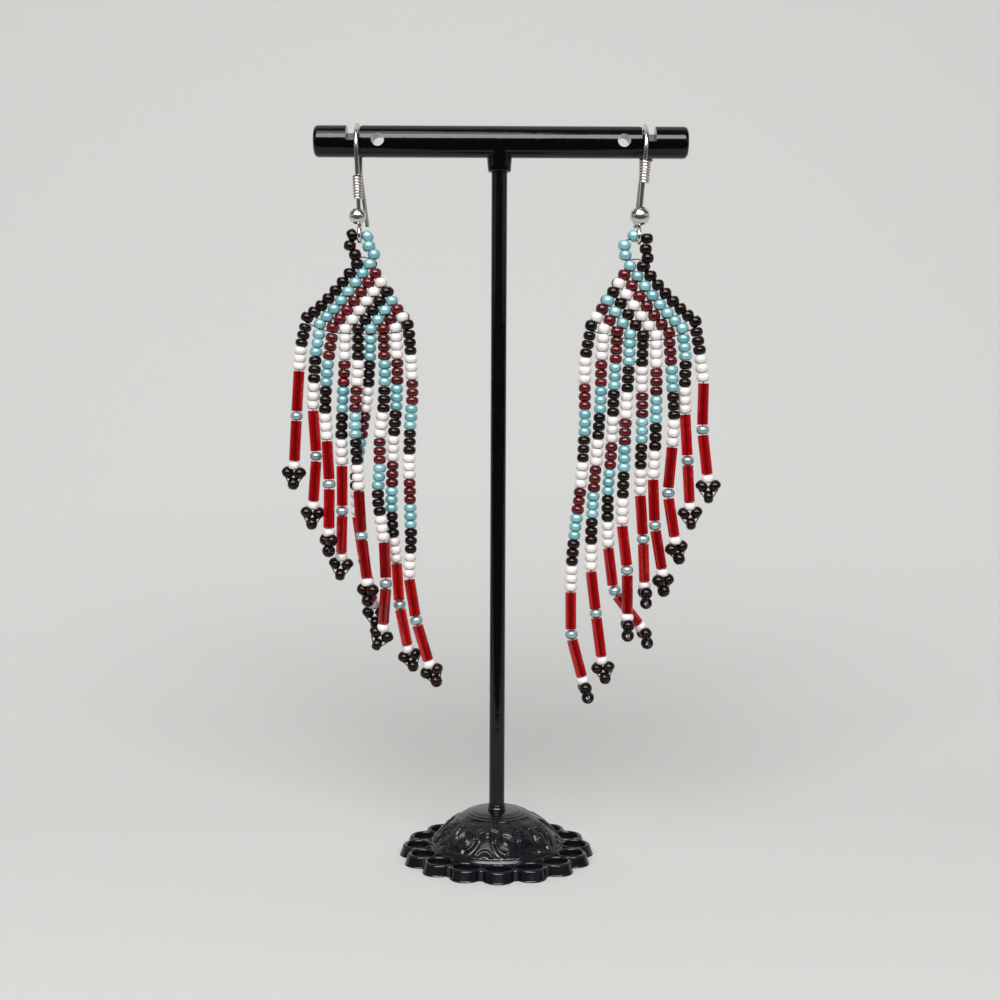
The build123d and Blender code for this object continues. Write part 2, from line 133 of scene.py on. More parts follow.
# A finish that is duller and glossier from place to place, by a 0 to 1 signal
def varyGloss(material, shader, signal, glossy, dull):
    roughness = addNode(material, "ShaderNodeMapRange", in0=signal, in3=glossy, in4=dull).outputs["Result"]
    material.node_tree.links.new(roughness, shader.inputs["Roughness"])


# Fine relief in a finish, with its depth in millimetres
def addRelief(material, shader, height, depth):
    relief = addNode(material, "ShaderNodeBump", Height=height, Distance=depth * mm)
    material.node_tree.links.new(relief.outputs["Normal"], shader.inputs["Normal"])


# Glass between a batch's dark and light colours, by each piece's own tone and by a cloud or streak
def tintGlass(material, shader, look, signal, signalShare):
    tone = addNode(material, "ShaderNodeAttribute", {"attribute_name": "tone"}).outputs["Fac"]
    share = addNode(material, "ShaderNodeMix", {"data_type": "FLOAT"},
                    in0=signalShare, in2=tone, in3=signal).outputs[0]
    colour = addNode(material, "ShaderNodeMix", {"data_type": "RGBA"},
                     in0=share, in6=linear(look["dark"]), in7=linear(look["light"])).outputs[2]
    material.node_tree.links.new(colour, shader.inputs["Base Color"])


# Black enamel with a slight orange peel. Dipped over the drawn tubes it is a hard dark mirror, and
# sprayed over the zinc casting of the base it is softer, with more dust in it. Its colour there is
# painted a little lighter than on the tubes, as painted fill light from the floor on the base.
enamelLooks = {
    "dippedGloss": {"colour": "#030304", "ior": 1.5, "roughness": (0.06, 0.16), "shine": 0.31,
                    "peelSize": 1.8, "peelDepth": 0.032, "dustSize": 0.5},
    # painted fill light: the casting's colour is lighter than the tubes' to stand in for light from the floor
    "sprayedSatinFillLit": {"colour": "#0a090e", "ior": 1.5, "roughness": (0.13, 0.25), "shine": 0.4,
                     "peelSize": 1.2, "peelDepth": 0.02, "dustSize": 0.4},
}


def blackEnamel(name):
    look = enamelLooks[name]
    material, shader = newMaterial(name + "BlackEnamel", Base_Color=linear(look["colour"]),
                                   IOR=look["ior"], Specular_IOR_Level=look["shine"])
    varyGloss(material, shader, grain(material, look["dustSize"], 4.0), *look["roughness"])
    addRelief(material, shader, grain(material, look["peelSize"]), look["peelDepth"])
    return material


# Silver plate over drawn brass wire: bright and slightly warm, with faint marks of the die along it
silverLook = {
    "colour": "#d9d5cd",
    "roughness": (0.17, 0.27),
    "markSize": 0.25,
}


def silverPlate():
    material, shader = newMaterial("drawnSilverPlate", Base_Color=linear(silverLook["colour"]), Metallic=1.0)
    varyGloss(material, shader, grain(material, silverLook["markSize"], 3.0), *silverLook["roughness"])
    return material


# Pressed glass seed beads. Each bead has its own tone between two colours of its batch.
# haze is the base's roughness, shine its gloss, glaze the fire polish over it, clear the light it
# lets through and lustre the metal film that is fired on for a pearly shine.
seedLooks = {
    "oxblood": {"light": "#190908", "dark": "#0a0403",
                "haze": 0.14, "shine": 0.26, "glaze": 0.0, "clear": 0.0, "lustre": 0.0},
    "turquoise": {"light": "#94c6cb", "dark": "#699ea4",
                  "haze": 0.36, "shine": 0.5, "glaze": 0.3, "clear": 0.0, "lustre": 0.45},
    "garnet": {"light": "#6c0c17", "dark": "#38050a",
               "haze": 0.14, "shine": 0.4, "glaze": 0.0, "clear": 0.3, "lustre": 0.0},
    "pearl": {"light": "#e5dfdd", "dark": "#d3ccca",
              "haze": 0.34, "shine": 0.5, "glaze": 0.2, "clear": 0.1, "lustre": 0.1},
    "steel": {"light": "#a6bcc0", "dark": "#7d959b",
              "haze": 0.26, "shine": 0.5, "glaze": 0.35, "clear": 0.0, "lustre": 0.6},
}
seedGlass = {"ior": 1.52, "glazeRoughness": 0.09, "cloudSize": 0.8, "cloudShare": 0.35}


def seedBeadGlass(name):
    look = seedLooks[name]
    material, shader = newMaterial(
        name + "SeedGlass", Roughness=look["haze"], IOR=seedGlass["ior"], Coat_Weight=look["glaze"],
        Coat_Roughness=seedGlass["glazeRoughness"], Transmission_Weight=look["clear"],
        Metallic=look["lustre"], Specular_IOR_Level=look["shine"])
    tintGlass(material, shader, look, grain(material, seedGlass["cloudSize"]), seedGlass["cloudShare"])
    return material


# Clear ruby glass, drawn as a tube and cut: light comes through it deep red, and its gloss is sharp.
# Each tube has its own tone, and faint drawing streaks along it.
rubyLook = {
    "light": "#dc111c",
    "dark": "#b00812",
    "ior": 1.5,
    "roughness": (0.06, 0.14),
    "clear": 0.92,
    "streakSize": 0.45,
    "streakRun": 0.06,        # squeezed along z, so that the noise is drawn out
    "streakShare": 0.4,
    "shine": 0.3,
}


def rubyTubeGlass():
    material, shader = newMaterial("rubyTubeGlass", IOR=rubyLook["ior"], Specular_IOR_Level=rubyLook["shine"],
                                   Transmission_Weight=rubyLook["clear"])
    streak = grain(material, rubyLook["streakSize"], 2.0, (1, 1, rubyLook["streakRun"]))
    tintGlass(material, shader, rubyLook, streak, rubyLook["streakShare"])
    varyGloss(material, shader, streak, *rubyLook["roughness"])
    return material


# Black nylon beading thread, twisted and waxed: dull, with a fine ply
threadLook = {"colour": "#0c0c0d", "roughness": 0.55, "plySize": 0.12, "plyRun": 3, "plyDepth": 0.02}


def waxedThread():
    material, shader = newMaterial("waxedBlackNylon", Base_Color=linear(threadLook["colour"]),
                                   Roughness=threadLook["roughness"])
    ply = grain(material, threadLook["plySize"], 1.0, (1, 1, threadLook["plyRun"]))
    addRelief(material, shader, ply, threadLook["plyDepth"])
    return material


# Matt paper of the backdrop, with a faint tooth
def backdropPaper():
    material, shader = newMaterial("offWhitePaper", Base_Color=linear(backdrop["colour"]),
                                   Roughness=backdrop["roughness"])
    addRelief(material, shader, grain(material, backdrop["grainSize"], 3.0), backdrop["grainDepth"])
    return material


# Finishes a piece: metres, outward normals, its materials, and hides the imported parts it stands for
def finishPiece(name, shape, materials, slot, *nodes):
    bmesh.ops.recalc_face_normals(shape, faces=shape.faces)
    bmesh.ops.scale(shape, vec=(mm, mm, mm), verts=shape.verts)
    mesh = bpy.data.meshes.new(name)
    shape.to_mesh(mesh)
    shape.free()
    for material in materials:
        mesh.materials.append(material)
    piece = bpy.data.objects.new(name, mesh)
    scene.collection.objects.link(piece)
    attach(piece, "root")
    if nodes:
        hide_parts(*nodes)
    return piece


# Where a shape stands: its middle, and what its own z runs along
def standAt(middle, along):
    return Matrix.Translation(middle) @ along.to_track_quat("Z", "Y").to_matrix().to_4x4()


# Adds a small shape to a piece's mesh, in its place and finish
def joinShape(target, shape, place, material=0, tone=0.5):
    bmesh.ops.transform(shape, matrix=place, verts=shape.verts)
    bmesh.ops.recalc_face_normals(shape, faces=shape.faces)
    tones = shape.faces.layers.float.new("tone")
    for face in shape.faces:
        face.material_index = material
        face.smooth = True
        face[tones] = tone
    holder = bpy.data.meshes.new("holder")
    shape.to_mesh(holder)
    shape.free()
    target.from_mesh(holder)
    bpy.data.meshes.remove(holder)


# A turned shape: an outline of (radius, height) spun about z. A closed one is a ring.
def turned(outline, steps, closed=True):
    shape = bmesh.new()
    corners = [shape.verts.new((radius, 0, height)) for radius, height in outline]
    pairs = zip(corners, corners[1:] + corners[:1]) if closed else zip(corners, corners[1:])
    edges = [shape.edges.new(pair) for pair in pairs]
    bmesh.ops.spin(shape, geom=corners + edges, cent=(0, 0, 0), axis=up, dvec=(0, 0, 0),
                   angle=2 * pi, steps=steps, use_merge=True)
    return shape


# Sharp edges stay crisp where two faces meet at more than an angle
def creaseByAngle(shape, angle):
    for edge in shape.edges:
        edge.smooth = edge.calc_face_angle(0) < radians(angle)


# A CAD node again, with its triangles joined so that its round faces shade smoothly
def smoothCopy(name, node, material, slot, angle=35.0):
    shape = bmesh.new()
    shape.from_mesh(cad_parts[node].data)
    bmesh.ops.remove_doubles(shape, verts=shape.verts, dist=weld * mm)
    bmesh.ops.scale(shape, vec=(1 / mm, 1 / mm, 1 / mm), verts=shape.verts)
    for face in shape.faces:
        face.smooth = True
        face.material_index = 0
    creaseByAngle(shape, angle)
    return finishPiece(name, shape, [material], slot, node)


tubeEnamel = blackEnamel("dippedGloss")
castEnamel = blackEnamel("sprayedSatinFillLit")
silver = silverPlate()
ruby = rubyTubeGlass()
thread = waxedThread()
beadColours = ("oxblood", "turquoise", "garnet", "pearl", "steel")
beadMaterials = [seedBeadGlass(name) for name in beadColours] + [thread]
threadIndex = len(beadColours)
print("materials made")


# The camera
def makeCamera():
    data = bpy.data.cameras.new("camera")
    data.lens = cameraView["lens"]
    data.sensor_width = cameraView["sensor"]
    data.clip_start = cameraView["nearest"] * mm
    camera = bpy.data.objects.new("camera", data)
    turn = Matrix.Rotation(radians(cameraView["pitch"]), 4, "X") @ Matrix.Rotation(
        radians(cameraView["roll"]), 4, "Z")
    camera.matrix_world = Matrix.Translation(Vector(cameraView["place"]) * mm) @ turn
    scene.collection.objects.link(camera)
    scene.camera = camera


# The paper sweep that everything stands on
def makeBackdrop():
    shape = bmesh.new()
    first = shape.verts.new((-backdrop["halfWidth"], backdrop["front"], 0))
    second = shape.verts.new((-backdrop["halfWidth"], backdrop["bendStart"], 0))
    shape.edges.new((first, second))
    middle = (0, backdrop["bendStart"], backdrop["bendRadius"])
    bend = bmesh.ops.spin(shape, geom=[second], axis=(1, 0, 0), dvec=(0, 0, 0), angle=pi / 2,
                          steps=backdrop["bendSteps"], cent=middle)
    last = [part for part in bend["geom_last"] if isinstance(part, bmesh.types.BMVert)][0]
    top = shape.verts.new(last.co + up * backdrop["wallHeight"])
    shape.edges.new((last, top))
    sheet = bmesh.ops.extrude_edge_only(shape, edges=shape.edges)
    moved = [part for part in sheet["geom"] if isinstance(part, bmesh.types.BMVert)]
    bmesh.ops.translate(shape, vec=(2 * backdrop["halfWidth"], 0, 0), verts=moved)
    bmesh.ops.recalc_face_normals(shape, faces=shape.faces)
    bmesh.ops.scale(shape, vec=(mm, mm, mm), verts=shape.verts)
    for face in shape.faces:
        face.smooth = True
    mesh = bpy.data.meshes.new("paperSweep")
    shape.to_mesh(mesh)
    shape.free()
    mesh.materials.append(backdropPaper())
    sweep = bpy.data.objects.new("paperSweep", mesh)
    scene.collection.objects.link(sweep)


def addSoftBox(name):
    light = lights[name]
    data = bpy.data.lights.new(name, "AREA")
    data.shape = "ELLIPSE"
    data.size, data.size_y = light["size"][0] * mm, light["size"][1] * mm
    data.energy = light["power"]
    box = bpy.data.objects.new(name, data)
    place, aim = Vector(light["place"]) * mm, Vector(light["aim"]) * mm
    box.matrix_world = Matrix.Translation(place) @ (aim - place).to_track_quat("-Z", "Y").to_matrix().to_4x4()
    scene.collection.objects.link(box)


def makeLight():
    for name in lights:
        addSoftBox(name)
    world = bpy.data.worlds.new("room")
    world.use_nodes = True
    glow = world.node_tree.nodes["Background"]
    glow.inputs["Color"].default_value = linear(room["colour"])
    glow.inputs["Strength"].default_value = room["strength"]
    scene.world = world
    scene.view_settings.view_transform = "Standard"


makeCamera()
makeBackdrop()
makeLight()
print("camera, backdrop and light set")

# Stand base: a domed casting in a ring of pierced petals, with raised ornament on the dome
base = {
    "rimHeight": 2.0,
    "petalCount": 16,
    "petalTurn": 1.3,
    "petalRing": 14.75,
    "petalRadius": 2.95,
    "petalFlare": 0.45,
    "flareShares": (0.1, 0.8, 0.9),
    "footEdge": 0.12,
    "petalSteps": 48,
    "holeRing": 14.3,
    "holeLength": 4.0,
    "holeWidth": 4.6,
    "lipRound": 0.42,
    "lipSteps": 8,
    "webRing": 15.15,         # little pillars between neighbouring petals
    "webRadius": 0.75,
    "webLip": (0, 0.5, 1.0),  # turns along its lip, in radians
    "webSteps": 20,
    "rimCrease": 50.0,
    "domeFoot": 12.2,
    "domeTop": 4.1,
    "domeHeight": 8.4,
    "collarRadius": 1.62,
    "collarHeight": 1.1,
    # the collar's side with its rings, as (inwards, below its top)
    "collarRings": ((0, 0.72), (0.12, 0.62), (0.12, 0.5), (0.02, 0.38), (0.02, 0.26), (0.12, 0.14),
                    (0.12, 0)),
    "seatRadius": 1.42,
    "underside": 0.3,
    "skirtOut": (0.1, 0.06),  # beyond the dome's foot, at the underside and above it
    "skirtDrop": 0.2,
    "turnSteps": 480,
    "riseSteps": 72,
    "domeCrease": 55.0,
}
# The dome is part of a ball, through its foot and the edge of its top
domeCentre = (base["domeHeight"] ** 2 + base["domeTop"] ** 2
              - base["rimHeight"] ** 2 - base["domeFoot"] ** 2)
domeCentre /= 2 * (base["domeHeight"] - base["rimHeight"])
domeRadius = sqrt(base["domeFoot"] ** 2 + (base["rimHeight"] - domeCentre) ** 2)


# A petal is an oval ring about its pierced hole, with a round lip. The outline is half its width
# across the radius of the base, and each point is then stretched along it.
def petalRing():
    height, lip = base["rimHeight"], base["lipRound"]
    inner, outer = base["holeWidth"] / 2, base["petalRadius"]
    wall = outer - base["petalFlare"] / 2
    half = (wall - inner) / 2
    outline = [(inner, 0)]
    for n in range(base["lipSteps"] + 1):
        turn = n * pi / base["lipSteps"]
        outline.append((inner + half - half * cos(turn), height - lip + lip * sin(turn)))
    for share in base["flareShares"]:
        outline.append((wall + (outer - wall) * share, (height - lip) * (1 - share)))
    outline += [(outer, base["footEdge"]), (outer, 0)]
    shape = turned(outline, base["petalSteps"])
    holeStretch = base["holeLength"] / base["holeWidth"]
    bodyStretch = (base["petalRing"] + outer - base["holeRing"]) / outer
    for vert in shape.verts:
        share = (vert.co.xy.length - inner) / (outer - inner)
        vert.co.x *= holeStretch + (bodyStretch - holeStretch) * share
    return shape


def webPillar():
    height, lip, radius = base["rimHeight"], base["lipRound"], base["webRadius"]
    outline = [(0, height)]
    outline += [(radius - lip + lip * sin(a), height - lip + lip * cos(a)) for a in base["webLip"]]
    outline += [(radius, height - lip), (radius, 0), (0, 0)]
    shape = turned(outline, base["webSteps"], False)
    bmesh.ops.remove_doubles(shape, verts=shape.verts, dist=weld)
    return shape


def makeBaseRim():
    rim = bmesh.new()
    for n in range(base["petalCount"]):
        turn = 360 * n / base["petalCount"] + base["petalTurn"] - 90
        petal = Matrix.Rotation(radians(turn), 4, "Z") @ Matrix.Translation((base["holeRing"], 0, 0))
        joinShape(rim, petalRing(), petal)
        turn += 180 / base["petalCount"]
        web = Matrix.Rotation(radians(turn), 4, "Z") @ Matrix.Translation((base["webRing"], 0, 0))
        joinShape(rim, webPillar(), web)
    creaseByAngle(rim, base["rimCrease"])
    return rim


# The dome is turned finely enough for its ornament, with the collar and the post's seat in its top
def makeDome():
    foot = asin(base["domeFoot"] / domeRadius)
    top = asin(base["domeTop"] / domeRadius)
    steps = base["riseSteps"]
    arc = [foot + (top - foot) * n / steps for n in range(steps + 1)]
    outline = [(domeRadius * sin(a), domeCentre + domeRadius * cos(a)) for a in arc]
    collarTop = base["domeHeight"] + base["collarHeight"]
    outline.append((base["collarRadius"], base["domeHeight"]))
    outline += [(base["collarRadius"] - inwards, collarTop - below) for inwards, below in base["collarRings"]]
    low, high = base["skirtOut"]
    outline += [
        (base["seatRadius"], collarTop),
        (base["seatRadius"], base["underside"]),
        (base["domeFoot"] + low, base["underside"]),
        (base["domeFoot"] + high, base["rimHeight"] - base["skirtDrop"]),
    ]
    return turned(outline, base["turnSteps"])


# The ornament is carved into the dome in equal motifs. Its shapes are placed across and up the dome
# from a motif's middle. A medallion is a disc of rings on a stem, in an eye-shaped pocket.
ornament = {
    "motifs": 8,
    "medallionTurn": 10.0,
    "crescentTurn": -12.5,
    "rise": 46.5,
    "soften": 0.22,           # width of a pocket's sloping wall
    "disc": (1.6, 1.88),      # half its width and height
    # rings as (middle, half width, height), the first two as shares of the disc
    "discRings": ((0.91, 0.11, 0.15), (0.75, 0.08, -0.15), (0.62, 0.08, 0.11), (0.5, 0.07, -0.15)),
    "boss": (0.45, 0.2),      # half width as a share of the disc, and height
    "eye": (2.2, 3.05),       # half its width and height
    "band": (2.85, 3.6),      # the same of the groove round it
    "shift": 0.15,            # of the eye and the band across from the disc
    "stem": (0.18, 0.3),      # middle and half width
    "pocketDepth": 0.34,
    "pocketFrom": 1.04,       # as a share of the disc
    "pocketTop": (0.4, 0.7),  # where it runs out above, and over how far
    "leaf": ((-2.36, 3.03), (-1.0, 2.21), (-1.3, 1.59), (-2.12, 0.48), (-2.77, 0.59)),
    "lens": (3.9, 1.3, 0.5),  # rise, half width and half height of the shallow hollow above
    "lensShare": 0.35,
    "grooveDepth": 0.1,
    # a groove's half width, and where it runs out
    "bandGroove": {"half": 0.045, "top": 1.2, "fade": 0.8, "rightTop": 2},
    "eyeGroove": {"half": 0.06, "from": 0.5, "foot": 0.2, "fade": 0.6},
    "crescent": (0.37, -3.0, 0.92, 1.52),    # middle across and up, inner and outer radius
    "crescentCut": 0.2,
    "tongue": (0.8, 0.16),    # half width and height
    # ridges round a middle, as (middle, radius, from, to across), and short level ones
    "arcs": ((0.3, 3.02, -2.1, -0.55), (0.3, 2.32, -1.7, -0.45)),
    "bars": ((0.2, 1.82), (0.3, 1.1)),
    "barEnd": (0.33, 0.15),
    "beads": ((-1.01, 0.17), (1.55, 0.22)),
    "ridge": (0.16, 0.14),    # half width and height
    # round the whole dome, as (radius, half width, height)
    "ripples": ((5.1, 0.22, 0.1), (5.85, 0.22, 0.1), (11.75, 0.22, 0.12)),
    "footFade": (0.6, 0.8),   # the motifs run out above the rim
    "onBall": 0.001,          # how near the ball a point of the dome's skin lies
}


# A share that rises smoothly from 0 to 1 across an edge
def soft(distance, width=ornament["soften"]):
    share = min(1.0, max(0.0, 0.5 + distance / width))
    return share * share * (3 - 2 * share)


# A round ridge about its crest
def ridge(distance, half):
    return max(0.0, 1 - (distance / half) ** 2)


# How deep a point is inside a polygon that is listed clockwise
def insideLeaf(across, rise):
    points = ornament["leaf"]
    depths = []
    for (ax, ay), (bx, by) in zip(points, points[1:] + points[:1]):
        depths.append(((across - ax) * (by - ay) - (rise - ay) * (bx - ax)) / hypot(bx - ax, by - ay))
    return min(depths)


def medallionHeight(across, rise):
    wide, high = ornament["disc"]
    disc = hypot(across / wide, rise / high)
    shifted = across - ornament["shift"]
    eye = hypot(shifted / ornament["eye"][0], rise / ornament["eye"][1])
    band = hypot(shifted / ornament["band"][0], rise / ornament["band"][1])
    stem, stemHalf = ornament["stem"]
    pocketTop, pocketFade = ornament["pocketTop"]
    pocket = soft((1 - eye) * wide) * soft((disc - ornament["pocketFrom"]) * wide)
    pocket *= soft(pocketTop - rise, pocketFade)
    pocket *= soft(abs(across - stem) - stemHalf)
    lensRise, lensWide, lensHigh = ornament["lens"]
    lens = soft((1 - hypot(across / lensWide, (rise - lensRise) / lensHigh)) * lensHigh)
    deepest = max(pocket, soft(insideLeaf(across, rise)), ornament["lensShare"] * lens)
    height = -ornament["pocketDepth"] * deepest
    height += sum(tall * ridge(disc - share, half) for share, half, tall in ornament["discRings"])
    height += ornament["boss"][1] * ridge(disc, ornament["boss"][0])
    groove = ornament["bandGroove"]
    below = groove["top"] - rise + (groove["rightTop"] if across > 0 else 0)
    height -= ornament["grooveDepth"] * ridge(band - 1, groove["half"]) * soft(below, groove["fade"])
    groove = ornament["eyeGroove"]
    if across > groove["from"]:
        above = rise - groove["foot"]
        height -= ornament["grooveDepth"] * ridge(eye - 1, groove["half"]) * soft(above, groove["fade"])
    return height


def crescentHeight(across, rise):
    middleX, middleY, inner, outer = ornament["crescent"]
    away = hypot(across - middleX, rise - middleY)
    above = soft(rise - middleY, ornament["crescentCut"])
    height = -ornament["pocketDepth"] * soft(outer - away) * soft(away - inner) * above
    height += ornament["tongue"][1] * ridge(away, ornament["tongue"][0]) * above
    half, tall = ornament["ridge"]
    barHalf, barFade = ornament["barEnd"]
    crest = 0.0
    for middle, radius, first, last in ornament["arcs"]:
        if first < across < last and rise > 0:
            crest = max(crest, ridge(hypot(across - middle, rise) - radius, half))
    for barX, barY in ornament["bars"]:
        crest = max(crest, ridge(rise - barY, half) * soft(barHalf - abs(across - barX), barFade))
    for beadX, beadY in ornament["beads"]:
        crest = max(crest, ridge(hypot(across - beadX, rise - beadY), 2 * half))
    return height + tall * crest


# Across and up from the nearest motif's middle
def fromMotif(turn, rise, motifTurn):
    step = 360 / ornament["motifs"]
    away = radians((turn - motifTurn + step / 2) % step - step / 2)
    middle = radians(ornament["rise"])
    above = sin(rise) * cos(middle) - cos(away) * cos(rise) * sin(middle)
    return domeRadius * sin(away) * cos(rise), domeRadius * above


def carveDome(dome):
    centre = Vector((0, 0, domeCentre))
    foot, fade = ornament["footFade"]
    for vert in dome.verts:
        out = vert.co - centre
        if abs(out.length - domeRadius) > ornament["onBall"]:
            continue
        turn, rise = degrees(atan2(out.x, -out.y)), asin(out.z / domeRadius)
        edge = soft(vert.co.z - base["rimHeight"] - foot, fade)
        height = medallionHeight(*fromMotif(turn, rise, ornament["medallionTurn"])) * edge
        height += crescentHeight(*fromMotif(turn, rise, ornament["crescentTurn"])) * edge
        reach = out.xy.length
        height += sum(tall * ridge(reach - radius, half) for radius, half, tall in ornament["ripples"])
        vert.co += out.normalized() * height


def makeBase():
    dome = makeDome()
    carveDome(dome)
    for face in dome.faces:
        face.smooth = True
    creaseByAngle(dome, base["domeCrease"])
    finishPiece("baseDome", dome, [castEnamel], "black_enamel", "stand_base")
    finishPiece("baseRim", makeBaseRim(), [castEnamel], "black_enamel", "stand_base")


makeBase()
smoothCopy("standPost", "stand_post", tubeEnamel, "black_enamel")
smoothCopy("standCrossbar", "stand_crossbar", tubeEnamel, "black_enamel")
print("stand made")

# Seed beads: rounded little drums with a drilled hole, no two quite alike
seed = {
    "diameter": 2.3,
    "length": 1.5,
    # outline as shares of the radius and of the length
    "outline": ((0.34, 0.36), (0.6, 0.5), (0.88, 0.37), (1.0, 0.1),
                (1.0, -0.1), (0.88, -0.37), (0.6, -0.5), (0.34, -0.36)),
    "sides": 12,
    "sizeSpread": 0.035,
    "tiltSpread": 3.0,
    "tiltRise": 0.1,          # a bead leans about a nearly level line
}
sewing = {"radius": 0.1, "sides": 6}


def addBead(target, middle, along, length, colour, dice):
    wide = seed["diameter"] / 2 * (1 + dice.uniform(-1, 1) * seed["sizeSpread"])
    long = length * (1 + dice.uniform(-1, 0) * seed["sizeSpread"])
    bead = turned([(wide * across, long * rise) for across, rise in seed["outline"]], seed["sides"])
    tilt = Matrix.Rotation(radians(dice.uniform(-1, 1) * seed["tiltSpread"]), 4,
                           Vector((dice.uniform(-1, 1), dice.uniform(-1, 1), seed["tiltRise"])))
    joinShape(target, bead, standAt(middle, along) @ tilt, beadColours.index(colour), dice.random())


def addThread(target, points):
    for start, end in zip(points, points[1:]):
        rod = bmesh.new()
        bmesh.ops.create_cone(rod, cap_ends=True, segments=sewing["sides"], radius1=sewing["radius"],
                              radius2=sewing["radius"], depth=(end - start).length)
        joinShape(target, rod, standAt((start + end) / 2, end - start), threadIndex)


# The pair. Places are from the hook's eye: across along the bar and up, as in the woven yoke's rows.
# A loop's beads are (across, up from the yoke's crown, slope of the hole from the upright, to the
# right), and turns are the edge beads, by row and column, that a thread is seen to go round.
ears = {
    "left": {
        "side": -1,
        "eyeFromBend": 0.27,
        "rowX": 0.70, "rowDrift": -0.137, "rowDrop": 5.2, "rowPitch": 1.65, "beadPitch": 2.28,
        "outerLift": 2.05, "outerCurl": 3.0, "innerLift": 0.82, "innerCurl": 4.0, "innerTuck": 0.3,
        "turns": ((1, 0), (4, 0), (7, 0)),
        "outerLoop": ((-1.28, 4.35, 62), (-1.7, 2.47, 10), (-0.78, 0.85, -20)),
        "innerLoop": ((1.43, 4.15, 45), (1.68, 2.4, -15), (2.59, 0.95, -5)),
    },
    "right": {
        "side": 1,
        "eyeFromBend": -0.75,
        "rowX": -0.51, "rowDrift": 0.19, "rowDrop": 5.45, "rowPitch": 1.757, "beadPitch": 2.33,
        "outerLift": 2.6, "outerCurl": 2.2, "innerLift": 1.8, "innerCurl": 1.3, "innerTuck": 0.0,
        "turns": ((1, 1), (3, 0), (5, 0)),
        "outerLoop": ((1.32, 4.1, 0), (1.12, 2.25, 0), (1.47, 0.63, 0)),
        "innerLoop": ((-1.07, 4.58, 45), (-2.69, 2.88, 10), (-2.51, 1.12, 0)),
    },
}
yoke = {
    "rows": 8,
    "colours": ("oxblood", "turquoise", "garnet", "pearl"),    # from the outer edge
    "tiltShare": 0.8,         # how far a bead leans with its row
    "bridgeBack": 0.15,       # the bridging thread, behind the beads' middles
    "beadShare": 1.04,        # a bead's length as a share of the rows' pitch
    "loopBead": 1.75,         # a loop bead's length
    "holeReach": 0.1,         # a thread's way out of a bead's hole
    "crownReach": 0.12,       # and above the top row, where it arches
    "crownRise": 0.25,
    "tuckCurl": 3,
}
hookWire = 0.8
eyeDiameter = 3.3


# The hook's eye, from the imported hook: its foot is the eye's lowest point
def eyePlace(name):
    ear = ears[name]
    low, high = (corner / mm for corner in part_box(name + "_ear_hook"))
    bend = low.x + hookWire / 2 if ear["side"] < 0 else high.x - hookWire / 2
    return Vector((bend + ear["eyeFromBend"], 0, low.z + eyeDiameter / 2))


# A bead of the yoke: row 1 is the top one, column 0 the inner edge
def yokePlace(name, row, column):
    ear = ears[name]
    place = column - row / 2
    lower = row - 1
    spot = eyePlaces[name].copy()
    spot.x += ear["rowX"] + ear["rowDrift"] * lower + ear["side"] * ear["beadPitch"] * place
    spot.z -= ear["rowDrop"] + ear["rowPitch"] * lower
    share = abs(place) / (yoke["rows"] / 2)
    if place > 0:
        spot.z += ear["outerLift"] * share ** ear["outerCurl"]
    else:
        spot.z += ear["innerLift"] * share ** ear["innerCurl"]
        spot.x += ear["side"] * ear["innerTuck"] * share ** yoke["tuckCurl"]
    return spot


# Which way a yoke bead's hole runs: square to its row
def yokeSlope(name, row, column):
    before = yokePlace(name, row, max(column - 1, 0))
    after = yokePlace(name, row, min(column + 1, row))
    along = after - before
    lean = atan2(along.z, along.x if along.x > 0 else -along.x) * (1 if along.x > 0 else -1)
    lean *= yoke["tiltShare"]
    return Vector((-sin(lean), 0, cos(lean)))


# The way of a thread from a bead's upper hole round its side to the lower one
def roundBead(spot, slope, side, half):
    out = Vector((slope.z, 0, -slope.x)) * side
    reach = seed["diameter"] / 2 + sewing["radius"]
    angles = [radians(angle) for angle in range(-80, 81, 20)]
    return [spot + slope * (half + sewing["radius"]) * sin(a) + out * reach * cos(a) for a in angles]


def makeYoke(name):
    shape = bmesh.new()
    dice = random.Random(name + "yoke")
    length = ears[name]["rowPitch"] * yoke["beadShare"]
    half = length / 2
    for row in range(1, yoke["rows"] + 1):
        spots = [yokePlace(name, row, column) for column in range(row + 1)]
        slopes = [yokeSlope(name, row, column) for column in range(row + 1)]
        for column in range(row + 1):
            colour = yoke["colours"][(row - column) % len(yoke["colours"])]
            addBead(shape, spots[column], slopes[column], length, colour, dice)
        # The row's thread runs from hole to hole along the beads' feet
        behind = Vector((0, yoke["bridgeBack"], 0))
        feet = [spot - slope * half + behind for spot, slope in zip(spots, slopes)]
        addThread(shape, feet)
        for spot, slope in zip(spots, slopes):
            reach = half + yoke["holeReach"]
            addThread(shape, [spot - slope * reach, spot + slope * reach])
        for turnRow, column in ears[name]["turns"]:
            if turnRow == row:
                side = ears[name]["side"] * (-1 if column == 0 else 1)
                addThread(shape, roundBead(spots[column], slopes[column], side, half))
        if row == 1:
            heads = [spot + slope * (half + yoke["crownReach"]) for spot, slope in zip(spots, slopes)]
            addThread(shape, [heads[0], (heads[0] + heads[1]) / 2 + up * yoke["crownRise"], heads[1]])
    finishPiece(name + "WovenYoke", shape, beadMaterials, "seed_glass", name + "_beaded_yoke")


